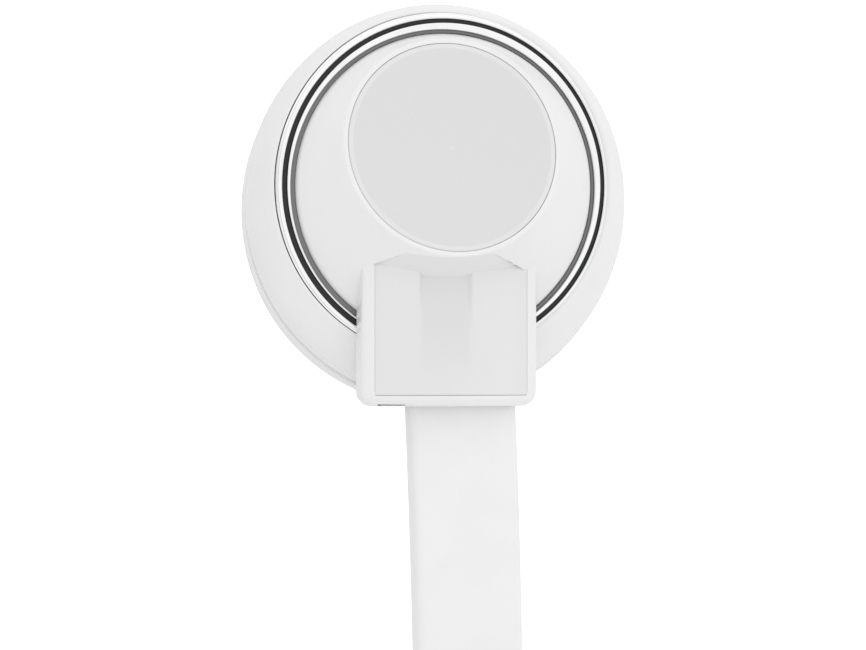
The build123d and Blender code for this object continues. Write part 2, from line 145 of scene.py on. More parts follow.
class NodeBoard:
    """A node tree with one way to make any node.

    Attributes:
        MIX_COLOURS: Places of the two colours among a Mix node's inputs.
        MIX_RESULT: Place of the mixed colour among its outputs.
    """

    MIX_COLOURS = (6, 7)
    MIX_RESULT = 2

    def __init__(self, tree: bpy.types.NodeTree) -> None:
        """Start from an empty tree.

        Args:
            tree: The tree, whose nodes are removed.
        """
        tree.nodes.clear()
        self.tree = tree

    def node(
        self, kind: str, settings: dict[str, Any] | None = None, *values: Any, **named: Any
    ) -> bpy.types.Node:
        """Make one node.

        Args:
            kind: The node's type.
            settings: Properties, set before the sockets are used.
            values: Numbers, colours or sockets for the first inputs.
            named: The same for inputs by name, with _ for a space.

        Returns:
            The new node.
        """
        made = self.tree.nodes.new(kind)
        for name, value in (settings or {}).items():
            setattr(made, name, value)
        for place, value in enumerate(values):
            self._feed(made.inputs[place], value)
        for name, value in named.items():
            self._feed(made.inputs[name.replace("_", " ")], value)
        return made

    def _feed(self, entry: bpy.types.NodeSocket, value: Any) -> None:
        """Link a socket to an input, or set the input's own value."""
        if isinstance(value, Sock):
            value = value.socket
        if isinstance(value, bpy.types.NodeSocket):
            self.tree.links.new(value, entry)
        else:
            entry.default_value = value

    def value(
        self, kind: str, output: str | int, settings: dict[str, Any] | None = None, *values: Any, **named: Any
    ) -> Sock:
        """Make a node and return one of its outputs."""
        return Sock(self, self.node(kind, settings, *values, **named).outputs[output])

    def place(self) -> Sock:
        """Object coordinates, in metres."""
        return self.value("ShaderNodeTexCoord", "Object")

    def attribute(self, name: str) -> Sock:
        """A number that the mesh carries on its points."""
        return self.value("ShaderNodeAttribute", "Fac", {"attribute_name": name})

    def split(self, vector: Sock) -> tuple[Sock, Sock, Sock]:
        """The three parts of a vector."""
        node = self.node("ShaderNodeSeparateXYZ", None, vector)
        return tuple(Sock(self, out) for out in node.outputs)

    def noise(self, vector: Sock, per_mm: float, detail: float = 2.0) -> Sock:
        """Noise between 0 and 1, with that many lumps a millimetre."""
        return self.value("ShaderNodeTexNoise", 0, None, Vector=vector, Scale=per_mm / MM, Detail=detail)

    def stretched(self, vector: Sock, factors: tuple[float, float, float]) -> Sock:
        """A vector with each part scaled."""
        return self.value("ShaderNodeVectorMath", 0, {"operation": "MULTIPLY"}, vector, factors)

    def blend(self, share: Sock, low: tuple | Sock, high: tuple | Sock) -> Sock:
        """A colour between two colours.

        Args:
            share: How much of the second there is.
            low: The first colour.
            high: The second colour.

        Returns:
            The mixed colour.
        """
        node = self.node("ShaderNodeMix", {"data_type": "RGBA"})
        for place, value in zip((0, *self.MIX_COLOURS), (share, low, high)):
            self._feed(node.inputs[place], value)
        return Sock(self, node.outputs[self.MIX_RESULT])

    def bump(self, height: Sock, depth_mm: float) -> Sock:
        """A normal from a height between 0 and 1 that stands for that depth."""
        return self.value("ShaderNodeBump", 0, None, Strength=1.0, Distance=depth_mm * MM, Height=height)


# ---------------------------------------------------------------- finishes
# The dark and grey ring-groove finishes are painted shade for the shadowed gaps there, and share the driver plastic's
# slot.
SHARED_SLOTS = {"dark_seal": "driver_plastic", "grey_seal": "driver_plastic", "panel_gloss": "white_gloss"}


@dataclass(frozen=True)
class Finish:
    """A finish that every piece of one kind shares.

    Attributes:
        name: The material's name.
        colour: Its main colour, linear.
        roughness: Its middle roughness.
    """

    name: str
    colour: tuple[float, float, float]
    roughness: float

    @property
    def slot(self) -> str:
        """The record's material slot that this finish belongs to."""
        return SHARED_SLOTS.get(self.name, self.name)

    def constants(self) -> dict[str, Any]:
        """Values that are the same all over, set on the shader's own sockets."""
        return {}

    def pattern(self, board: NodeBoard) -> dict[str, Any]:
        """What changes over the surface, by the shader's input."""
        raise NotImplementedError

    def material(self) -> bpy.types.Material:
        """The Blender material, made on first use.

        Returns:
            The material with this finish's name.
        """
        title = f"{self.name}_finish"
        known = bpy.data.materials.get(title)
        if known is not None:
            return known
        made = bpy.data.materials.new(title)
        made.use_nodes = True
        board = NodeBoard(made.node_tree)
        inputs = {"Base_Color": (*self.colour, 1.0), "Roughness": self.roughness, **self.constants()}
        inputs.update(self.pattern(board))
        shader = board.node("ShaderNodeBsdfPrincipled", None, **inputs)
        board.node("ShaderNodeOutputMaterial", None, shader.outputs[0])
        return made

    def tinted(self, factor: float) -> tuple[float, float, float, float]:
        """The main colour made lighter or darker."""
        return (*(min(1.0, part * factor) for part in self.colour), 1.0)


@dataclass(frozen=True)
class MouldedPlastic(Finish):
    """Glossy or satin moulded plastic: faint flow marks, handling haze, a very fine skin and painted shade in hollows
    that the mesh marks.

    Attributes:
        hollow_tint: How much of the colour is left in the painted shade where the mesh carries its mark.
        coat: How much clear gloss lies over it.
        skin: Depth of the fine skin, in millimetres.
        haze: How far the roughness wanders.
    """

    hollow_tint: float = 0.93
    coat: float = 0.0
    skin: float = 0.0006
    haze: float = 0.05

    def constants(self) -> dict[str, Any]:
        """Clear gloss and the plastic's own index."""
        return {"Coat_Weight": self.coat, "Coat_Roughness": 0.04, "IOR": 1.47}

    def pattern(self, board: NodeBoard) -> dict[str, Any]:
        """Flow marks and painted shade in marked hollows in the colour, haze in the roughness, skin in the normal."""
        place = board.place()
        drawn_out = board.stretched(place, (1.0, 0.45, 1.0))
        flow = board.noise(drawn_out, per_mm=0.28, detail=3.0).ramp(low=0.35, high=0.65)
        smudge = board.noise(place, per_mm=0.75, detail=4.0).ramp(low=0.42, high=0.7)
        skin = board.noise(place, per_mm=7.0) * 0.7 + board.noise(place, per_mm=1.4, detail=1.0) * 0.3
        clean = board.blend(flow, self.tinted(0.985), self.tinted(1.008))
        return {
            # Painted shade: the colour darkens to the tint where the mesh marks the dome's scoop, the button's dish
            # and the panel's flute.
            "Base_Color": board.blend(board.attribute("hollow"), clean, self.tinted(self.hollow_tint)),
            "Roughness": smudge * self.haze + (self.roughness - 0.4 * self.haze),
            "Normal": board.bump(skin, self.skin),
        }


@dataclass(frozen=True)
class PolishedMetal(Finish):
    """Plated or polished metal with fine lines from the polishing wheel.

    Attributes:
        lines: How much longer the lines are along each axis.
        depth: Depth of the lines, in millimetres.
    """

    lines: tuple[float, float, float] = (1.0, 1.0, 6.0)
    depth: float = 0.0004

    def pattern(self, board: NodeBoard) -> dict[str, Any]:
        """Wheel lines in the normal and a breath of haze in the roughness."""
        place = board.place()
        wheel = board.noise(board.stretched(place, self.lines), per_mm=5.0, detail=3.0)
        haze = board.noise(place, per_mm=0.6, detail=4.0).ramp(low=0.4, high=0.75)
        return {
            "Base_Color": board.blend(haze, self.tinted(1.0), self.tinted(0.94)),
            "Metallic": 1.0,
            "Roughness": haze * 0.06 + self.roughness,
            "Normal": board.bump(wheel, self.depth),
        }


@dataclass(frozen=True)
class SoftSilicone(Finish):
    """Soft silicone: slightly milky, with a dusting and a powdery sheen."""

    def constants(self) -> dict[str, Any]:
        """A little light travels under the skin."""
        return {
            "Subsurface_Weight": 0.18,
            "Subsurface_Radius": (0.0012, 0.001, 0.0009),
            "Subsurface_Scale": 1.0,
            "Sheen_Weight": 0.12,
            "IOR": 1.42,
        }

    def pattern(self, board: NodeBoard) -> dict[str, Any]:
        """Dust specks and a fine moulded grain."""
        place = board.place()
        dust = board.noise(place, per_mm=3.2, detail=5.0).ramp(low=0.66, high=0.8)
        grain = board.noise(place, per_mm=9.0)
        return {
            "Base_Color": board.blend(dust, self.tinted(1.0), self.tinted(0.93)),
            "Roughness": dust * 0.15 + self.roughness,
            "Normal": board.bump(grain, 0.0015),
        }


@dataclass(frozen=True)
class ExtrudedRubber(Finish):
    """The flat cord's rubber: lines drawn along it by the die, and a fine matt skin."""

    def constants(self) -> dict[str, Any]:
        """Soft sheen at grazing light."""
        return {"Sheen_Weight": 0.08, "IOR": 1.45}

    def pattern(self, board: NodeBoard) -> dict[str, Any]:
        """Long die lines from the distances along and round the cord that its mesh carries."""
        along, around = board.attribute("along"), board.attribute("around")
        drawn = board.value("ShaderNodeCombineXYZ", 0, None, around * MM, along * (0.02 * MM), 0.0)
        lines = board.noise(drawn, per_mm=9.0)
        place = board.place()
        skin = board.noise(place, per_mm=8.0, detail=3.0)
        wear = board.noise(place, per_mm=0.35, detail=3.0).ramp(low=0.4, high=0.7)
        return {
            "Base_Color": board.blend(wear, self.tinted(1.0), self.tinted(0.978)),
            "Roughness": wear * 0.08 + self.roughness,
            "Normal": board.bump(lines * 0.6 + skin * 0.4, 0.003),
        }


@dataclass(frozen=True)
class WovenSteel(Finish):
    """Fine woven steel: round holes between crossed wires.

    Attributes:
        pitch: Distance between the wires, in millimetres.
    """

    pitch: float = 0.16

    def pattern(self, board: NodeBoard) -> dict[str, Any]:
        """Holes where two waves are both low, painted near-black as the shade seen through them, wires raised between
        them.
        """
        across, up, _ = board.split(board.place())
        turn = math.pi / (self.pitch * MM)
        weave = abs((across * turn).math("SINE")) * abs((up * turn).math("SINE"))
        hole = weave.ramp(low=0.35, high=0.6)
        return {
            # Painted shade: the holes are near-black for the dark seen through them.
            "Base_Color": board.blend(hole, self.tinted(1.0), (0.015, 0.015, 0.016, 1.0)),
            "Metallic": 1.0 - hole,
            "Roughness": hole * 0.5 + self.roughness,
            "Normal": board.bump(1.0 - weave, 0.03),
        }


@dataclass(frozen=True)
class CircuitBoard(Finish):
    """Solder mask with copper tracks under it and bare pads.

    Attributes:
        track: Width of one track cell, in millimetres.
    """

    track: float = 0.55

    def pattern(self, board: NodeBoard) -> dict[str, Any]:
        """Tracks from a brick pattern, pads from rounded cells."""
        place = board.place()
        bricks = board.value(
            "ShaderNodeTexBrick", "Fac", None, Vector=place, Scale=1.0 / MM, Mortar_Size=0.05,
            Brick_Width=1.7 * self.track, Row_Height=self.track,
        )
        cells = board.value("ShaderNodeTexVoronoi", "Distance", None, Vector=place, Scale=0.9 / MM, Randomness=0.6)
        pad = cells.ramp(low=0.22, high=0.18)
        masked = board.blend(bricks, self.tinted(1.0), self.tinted(2.2))
        return {
            "Base_Color": board.blend(pad, masked, (0.8, 0.78, 0.7, 1.0)),
            "Metallic": pad,
            "Roughness": self.roughness - pad * 0.15,
            "Normal": board.bump(bricks * 0.5 + pad, 0.02),
        }


@dataclass(frozen=True)
class DriverFilm(Finish):
    """Thin driver film: rings pressed into it round the driver's middle."""

    def pattern(self, board: NodeBoard) -> dict[str, Any]:
        """Fine ripples and a faint cloudiness."""
        place = board.place()
        cloud = board.noise(place, per_mm=1.2, detail=3.0)
        rings = {"wave_type": "RINGS", "rings_direction": "Z"}
        ripple = board.value("ShaderNodeTexWave", "Fac", rings, Vector=place, Scale=0.8 / MM)
        return {
            "Base_Color": board.blend(cloud, self.tinted(0.9), self.tinted(1.1)),
            "Roughness": cloud * 0.1 + self.roughness,
            "Normal": board.bump(ripple, 0.02),
        }


class Finishes:
    """Every finish of the earphones, named as in the record."""

    white_shell = MouldedPlastic("white_shell", (0.815, 0.815, 0.815), 0.2, coat=0.15)
    white_gloss = MouldedPlastic("white_gloss", (0.815, 0.815, 0.815), 0.16, coat=0.2)
    panel_gloss = MouldedPlastic("panel_gloss", (0.747, 0.747, 0.747), 0.1, coat=0.4)
    white_satin = MouldedPlastic("white_satin", (0.742, 0.742, 0.742), 0.36, skin=0.0012, haze=0.08)
    chrome_trim = PolishedMetal("chrome_trim", (0.93, 0.93, 0.935), 0.05)
    ear_tip_silicone = SoftSilicone("ear_tip_silicone", (0.84, 0.84, 0.835), 0.45)
    cord_rubber = ExtrudedRubber("cord_rubber", (0.845, 0.845, 0.845), 0.42)
    steel_mesh = WovenSteel("steel_mesh", (0.6, 0.6, 0.62), 0.3)
    gold_contact = PolishedMetal("gold_contact", (0.83, 0.62, 0.27), 0.18)
    # Painted shade: near-black and grey strips in the chrome ring's grooves stand in for the shadowed gaps there.
    dark_seal = MouldedPlastic("dark_seal", (0.012, 0.012, 0.013), 0.55, skin=0.002)
    grey_seal = MouldedPlastic("grey_seal", (0.19, 0.19, 0.192), 0.5, skin=0.002)
    driver_plastic = MouldedPlastic("driver_plastic", (0.02, 0.02, 0.022), 0.5, skin=0.003)
    diaphragm_film = DriverFilm("diaphragm_film", (0.5, 0.5, 0.45), 0.25)
    copper_wire = PolishedMetal("copper_wire", (0.72, 0.36, 0.2), 0.3, (1.0, 1.0, 18.0), 0.01)
    magnet_metal = PolishedMetal("magnet_metal", (0.62, 0.62, 0.64), 0.22)
    battery_steel = PolishedMetal("battery_steel", (0.6, 0.6, 0.62), 0.3, (12.0, 1.0, 1.0), 0.002)
    board_green = CircuitBoard("board_green", (0.02, 0.13, 0.06), 0.4)


# ---------------------------------------------------------------- surfaces
def linear_step(values: np.ndarray, low: float, high: float) -> np.ndarray:
    """0 at low, 1 at high, a straight line between them and flat outside."""
    return np.clip((values - low) / (high - low), 0.0, 1.0)


def smooth_step(values: np.ndarray, low: float, high: float) -> np.ndarray:
    """The linear step s made smooth at both ends, as s²(3 - 2s)."""
    share = linear_step(values, low, high)
    return share * share * (3.0 - 2.0 * share)


def quarter_round(along: np.ndarray, end: float, size: float) -> np.ndarray:
    """How far a quarter-round of that size before an end at -Y has pulled in, at places along Y."""
    into = np.clip((end + size - along) / size, 0.0, 1.0)
    return size * (1.0 - np.sqrt(1.0 - into**2))


def parabola(start: np.ndarray, pull: np.ndarray, end: np.ndarray, share: np.ndarray) -> np.ndarray:
    """Points of a parabola: (1-t)² of the start, 2t(1-t) of the pull and t² of the end."""
    return (1 - share) ** 2 * start + 2 * share * (1 - share) * pull + share**2 * end


def full_turn(count: int) -> np.ndarray:
    """Angles once round the axis."""
    return np.linspace(0.0, FULL_TURN, count, endpoint=False)


def open_turn(half_gap: float, count: int) -> np.ndarray:
    """Angles from one side of a gap about -Y round to its other side."""
    return np.linspace(half_gap - math.pi / 2, 1.5 * math.pi - half_gap, count)


def rounded_rows(rows: np.ndarray, trims: np.ndarray, closed: bool, steps: int = 6) -> np.ndarray:
    """Round the corners that a column of rows makes.

    Each corner is cut back by its trim towards both neighbours, and a parabola joins the two cuts.

    Args:
        rows: Points, rows × columns × 3.
        trims: How far each row's corner is cut back; 0 keeps it.
        closed: Whether the last row joins the first.
        steps: Points in each rounded corner.

    Returns:
        The rows with more of them, and none twice.
    """
    before, after = np.roll(rows, 1, axis=0), np.roll(rows, -1, axis=0)
    if not closed:
        before[0], after[-1] = rows[0], rows[-1]
    reach = np.asarray(trims, float)[:, None, None]

    def cut(neighbour: np.ndarray) -> np.ndarray:
        """The point at the trim's distance towards a neighbour, at most 0.49 of the way."""
        step = neighbour - rows
        length = np.maximum(np.linalg.norm(step, axis=-1, keepdims=True), 1e-9)
        return rows + step * np.minimum(reach / length, 0.49)

    share = np.linspace(0.0, 1.0, steps)[None, :, None, None]
    first, corner, last = (part[:, None] for part in (cut(before), rows, cut(after)))
    curve = parabola(first, corner, last, share).reshape(-1, *rows.shape[1:])
    fresh = np.concatenate([[True], np.abs(np.diff(curve, axis=0)).max(axis=(1, 2)) > 1e-7])
    return curve[fresh]


@dataclass(frozen=True)
class Level:
    """One circle of a turned shape.

    Attributes:
        height: Height of its centre over the table, in millimetres.
        radius: Its radius.
        x: Its centre's place along X.
        y: Its centre's place along Y.
        trim: How far the corner at this circle is cut back when it is rounded.
        lean: How far its +Y side leans down, in degrees.
    """

    height: float
    radius: float
    x: float = 0.0
    y: float = 0.0
    trim: float = 0.0
    lean: float = 0.0


def turned(levels: list[Level], angles: np.ndarray, closed: bool = True, steps: int = 6) -> np.ndarray:
    """A turned shape with its corners rounded, each circle a row of points.

    A point at angle a of a level with radius r is its centre plus r cos a along X and r sin a along a
    Y axis that leans down by the level's lean.

    Args:
        levels: The circles, in order.
        angles: The angles of a row's points, in radians.
        closed: Whether the last level joins the first.
        steps: Points in each rounded corner.

    Returns:
        Points, rows × angles × 3.
    """
    table = np.array([astuple(level) for level in levels])
    height, radius, x, y, _, lean = (column[:, None] for column in table.T)
    lean = np.radians(lean)
    across, up = radius * np.cos(angles), radius * np.sin(angles)
    rows = np.stack([x + across, y + up * np.cos(lean), height - up * np.sin(lean)], axis=-1)
    return rounded_rows(rows, table[:, 4], closed, steps)


def arc_points(start: tuple, middle: tuple, end: tuple, count: int) -> np.ndarray:
    """Points on the circle through three points, from the first to the last.

    The centre is where the perpendicular bisectors cross; the points stand at equal angles about it.

    Args:
        start: First point.
        middle: A point on the way.
        end: Last point.
        count: How many points.

    Returns:
        Points, count × 2.
    """
    a, b, c = (np.array(point, float) for point in (start, middle, end))
    sides = np.array([b - a, c - a]) * 2.0
    centre = np.linalg.solve(sides, np.array([b @ b - a @ a, c @ c - a @ a]))
    first, mid, last = (math.atan2(*(point - centre)[::-1]) for point in (a, b, c))
    mid, last = (mid - first) % FULL_TURN, (last - first) % FULL_TURN
    sweep = last if mid < last else last - FULL_TURN
    angles = first + np.linspace(0.0, sweep, count)
    return centre + np.linalg.norm(a - centre) * np.stack([np.cos(angles), np.sin(angles)], axis=-1)


class Ends(Enum):
    """What closes the first and last row of a grid."""

    POLES = "each end runs to a point at the row's middle"
    LOOP = "the last row joins the first"


@dataclass
class Surface:
    """A closed surface on a grid of points.

    Attributes:
        name: The piece's name.
        points: Rows × columns × 3, in millimetres, in the earpiece's frame or the whole object's.
        rows: What closes the rows.
        columns: What closes the columns.
        marks: Numbers that the mesh carries on its points, by name, each rows × columns.
    """

    name: str
    points: np.ndarray
    rows: Ends
    columns: Ends
    marks: dict[str, np.ndarray] = field(default_factory=dict)

    def _quads(self) -> np.ndarray:
        """Quads between neighbours: point (i, j), its next in the row, and the same in the next row."""
        tall, wide = self.points.shape[:2]
        index = np.arange(tall * wide).reshape(tall, wide)
        if self.rows is Ends.LOOP:
            index = np.concatenate([index, index[:1]])
        if self.columns is Ends.LOOP:
            index = np.concatenate([index, index[:, :1]], axis=1)
        corners = (index[:-1, :-1], index[:-1, 1:], index[1:, 1:], index[1:, :-1])
        return np.stack([corner.ravel() for corner in corners], axis=-1)

    def _fans(self) -> tuple[np.ndarray, list[list[int]]]:
        """Poles at the middle of each open end, and the triangles that join them to its edge."""
        tall, wide = self.points.shape[:2]
        index = np.arange(tall * wide).reshape(tall, wide)
        edges = []
        if self.rows is Ends.POLES and self.columns is Ends.LOOP:
            edges = [index[0], index[-1]]
        elif self.rows is Ends.LOOP and self.columns is Ends.POLES:
            edges = [index[:, 0], index[:, -1]]
        flat = self.points.reshape(-1, 3)
        poles = np.array([flat[edge].mean(axis=0) for edge in edges]).reshape(-1, 3)
        first_pole = tall * wide
        fans = [
            np.stack([edge, np.roll(edge, -1), np.full_like(edge, first_pole + number)], axis=-1)
            for number, edge in enumerate(edges)
        ]
        return poles, np.concatenate(fans).tolist() if fans else []

    def build(
        self, finish: Finish, side: Side = Side.LEFT, origin: Vector = Vector((0, 0, 0))
    ) -> bpy.types.Object:
        """Make the object: mirrored to its side, moved to its origin, normals outwards.

        Args:
            finish: Its finish.
            side: Which earpiece it belongs to.
            origin: That earpiece's place, in millimetres.

        Returns:
            The new object.
        """
        poles, fans = self._fans()
        points = np.concatenate([self.points.reshape(-1, 3), poles])
        points = (points * (side.value, 1.0, 1.0) + np.array(origin)) * MM
        mesh = bpy.data.meshes.new(self.name)
        mesh.from_pydata(points.tolist(), [], self._quads().tolist() + fans)
        for mark, values in self.marks.items():
            layer = mesh.attributes.new(mark, "FLOAT", "POINT")
            layer.data.foreach_set("value", np.concatenate([values.ravel(), np.zeros(len(poles))]))
        shape = bmesh.new()
        shape.from_mesh(mesh)
        bmesh.ops.remove_doubles(shape, verts=shape.verts, dist=2e-8)
        bmesh.ops.recalc_face_normals(shape, faces=shape.faces)
        shape.to_mesh(mesh)
        shape.free()
        mesh.polygons.foreach_set("use_smooth", np.ones(len(mesh.polygons), bool))
        mesh.set_sharp_from_angle(angle=SHARP_EDGE)
        mesh.materials.append(finish.material())
        made = bpy.data.objects.new(self.name, mesh)
        bpy.context.scene.collection.objects.link(made)
        LOG.info("%s: %d faces", self.name, len(mesh.polygons))
        return made


def settle(piece: bpy.types.Object, body: str, finish: Finish, *nodes: str) -> bpy.types.Object:
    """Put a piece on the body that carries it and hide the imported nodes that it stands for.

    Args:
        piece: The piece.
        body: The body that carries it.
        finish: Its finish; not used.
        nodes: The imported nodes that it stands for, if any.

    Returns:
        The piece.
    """
    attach(piece, body)
    if nodes:
        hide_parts(*nodes)
    return piece


# ---------------------------------------------------------------- sub-assemblies, and the housing
@dataclass
class SubAssembly:
    """Some pieces of one earpiece. Lengths are in millimetres, and heights are over the table."""

    side: Side
    ring_height: float

    def piece(self, name: str, points: np.ndarray, rows: Ends, columns: Ends, **marks: np.ndarray) -> Surface:
        """A surface whose name starts with its side."""
        return Surface(f"{self.side.word}_{name}", points, rows, columns, marks)


@dataclass
class Housing(SubAssembly):
    """The two white shells of an earpiece, the charging contacts in them and the silicone tip."""

    parting_drop: float = 1.6
    parting_radius: float = 7.42
    parting_shift: float = -0.7
    parting_round: float = 0.07
    flank_pull: float = 7.6
    flank_shift: float = -0.56
    flank_drop: float = 0.88
    sideways: float = 0.11
    rear_top_radius: float = 6.66
    seat_radius: float = 6.535
    seat_offset: tuple[float, float] = (-0.04, 0.0)
    seat_depth: float = 0.35
    seat_bore: float = 5.35
    notch_angle: float = 24.5
    front_shift: float = -0.84
    belly_drop: float = 2.15
    belly_shift: float = -0.98
    inner_drop: float = 4.5
    nozzle: tuple[float, float] = (0.9, -1.6)
    contact_spacing: float = 2.2
    contact_radius: float = 0.5
    contact_drop: float = 3.2
    contact_skin: float = 6.94
    contact_shift: float = -1.03
    contact_dip: float = 24.0

    def rear(self) -> Surface:
        """The rear shell, open where the boot crosses it.

        Its flank is a parabola in height, radius and shift from the parting line to the ring's seat,
        turned about the ring's axis from one side of the boot to the other.

        Returns:
            The shell.
        """
        ring = self.ring_height
        parting = np.array([ring - self.parting_drop, self.parting_radius, self.sideways, self.parting_shift])
        pull = np.array([ring - self.flank_drop, self.flank_pull, self.sideways, self.flank_shift])
        top = np.array([ring, self.rear_top_radius, 0.0, 0.0])
        lowest, *flank, highest = parabola(parting, pull, top, np.linspace(0.0, 1.0, 18)[:, None])
        floor = ring - self.seat_depth
        levels = [
            Level(*lowest, trim=self.parting_round),
            *(Level(*row) for row in flank),
            Level(*highest, trim=0.04),
            Level(ring, self.seat_radius, *self.seat_offset, trim=0.006),
            Level(floor, self.seat_radius, *self.seat_offset, trim=0.03),
            Level(floor, self.seat_bore),
            Level(parting[0], self.seat_bore, 0.0, self.parting_shift / 2),
        ]
        rows = turned(levels, open_turn(math.radians(self.notch_angle), 260))
        return self.piece("rear_housing", rows, Ends.LOOP, Ends.POLES)

    def front(self) -> Surface:
        """The front shell: belly, waist and throat down to the barbed nozzle, then up its inside.

        Returns:
            The shell.
        """
        ring, belly = self.ring_height, self.belly_shift
        parting = ring - self.parting_drop
        nozzle_x, nozzle_y = self.nozzle
        nozzle = (  # height, radius, trim
            (ring - 5.75, 2.6, 0.2), (3.9, 2.6, 0.05), (3.88, 2.95, 0.06), (3.4, 2.8, 0.1), (3.3, 2.6, 0.05),
            (2.6, 2.6, 0.06), (2.6, 2.2, 0.03), (2.8, 2.2, 0.02), (2.8, 1.9, 0.03),
        )
        levels = [
            Level(parting, self.parting_radius, 0.08, self.front_shift, self.parting_round),
            Level(ring - self.belly_drop, 7.38, 0.04, belly, 0.3),
            Level(ring - 3.4, 6.9, 0.08, belly - 0.06, 0.6),
            Level(ring - 4.6, 6.0, 0.2, belly - 0.1, 0.45),
            Level(ring - 5.4, 3.9, nozzle_x / 2, (belly + nozzle_y) / 2, 0.4),
            *(Level(height, radius, nozzle_x, nozzle_y, trim) for height, radius, trim in nozzle),
            Level(ring - self.inner_drop, 1.9, nozzle_x / 2, -1.3, 0.1),
            Level(ring - self.inner_drop, 5.02, 0.0, -1.0, 0.1),
            Level(ring - self.belly_drop, 6.4, 0.0, belly, 0.3),
            Level(parting, 6.42, 0.0, self.front_shift, 0.05),
        ]
        return self.piece("front_housing", turned(levels, full_turn(288), steps=9), Ends.LOOP, Ends.LOOP)

    def contact(self, word: str, across: float) -> Surface:
        """One charging contact: a disc with a rounded edge, turned about the front shell's normal.

        Args:
            word: Its name among the two.
            across: Its place along X, either side of the middle.

        Returns:
            The disc.
        """
        bearing, dip = math.asin(across / self.contact_skin), math.radians(self.contact_dip)
        flat = math.cos(dip)
        outward = np.array([math.sin(bearing) * flat, math.cos(bearing) * flat, -math.sin(dip)])
        level = np.array([math.cos(bearing), -math.sin(bearing), 0.0])
        skin_y = self.contact_skin * math.cos(bearing) + self.contact_shift
        middle = np.array([across, skin_y, self.ring_height - self.contact_drop])
        angles = full_turn(48)[:, None]
        round_it = np.cos(angles) * level + np.sin(angles) * np.cross(level, outward)
        radius, lift, trim = np.array([
            (self.contact_radius, -0.25, 0.0), (self.contact_radius, 0.06, 0.06),
            (0.3, 0.07, 0.05), (0.04, 0.07, 0.0),
        ]).T
        rows = middle + lift[:, None, None] * outward + radius[:, None, None] * round_it
        return self.piece(f"{word}_contact", rounded_rows(rows, trim, closed=False), Ends.POLES, Ends.LOOP)

    def near_contact(self) -> Surface:
        """The contact on the -X side of the middle."""
        return self.contact("near", -self.contact_spacing / 2)

    def far_contact(self) -> Surface:
        """The contact on the +X side of the middle."""
        return self.contact("far", self.contact_spacing / 2)

    def ear_tip(self) -> Surface:
        """The silicone tip: a thin skirt that turns back over its stem, on the nozzle's barb.

        Its profile is a row of radius, height and trim, up the stem, down inside the skirt, round its
        hem and down its outside to the nose.

        Returns:
            The tip.
        """
        stem = [(1.9, 2.5, 0.05), (2.66, 2.5, 0.05), (2.66, 6.2, 0.12), (3.4, 6.2, 0.12), (3.4, 2.3, 0.2)]
        skirt_inside = arc_points((3.4, 2.3), (4.65, 3.2), (5.2, 5.0), 18)[1:]
        hem = [(5.2, 5.7, 0.26), (5.8, 5.7, 0.26)]
        skirt_outside = arc_points((5.8, 5.0), (4.9, 1.75), (2.7, 0.0), 30)
        nose = arc_points((2.7, 0.0), (2.12, 0.06), (1.9, 0.3), 8)[1:]
        profile = [*stem, *skirt_inside, *hem, *skirt_outside, *nose]
        levels = [Level(height, radius, *self.nozzle, *trim) for radius, height, *trim in profile]
        return self.piece("silicone_tip", turned(levels, full_turn(200)), Ends.LOOP, Ends.LOOP)


# ---------------------------------------------------------------- chrome ring
@dataclass(frozen=True)
class Circle:
    """A level circle round a centre near the ring's axis, in millimetres."""

    radius: float
    x: float = 0.0
    y: float = 0.0

    def grown(self, more: float) -> "Circle":
        """The same circle with a larger radius."""
        return Circle(self.radius + more, self.x, self.y)

    def at(self, height: float, trim: float) -> Level:
        """The circle as a level of a turned shape."""
        return Level(height, self.radius, self.x, self.y, trim)


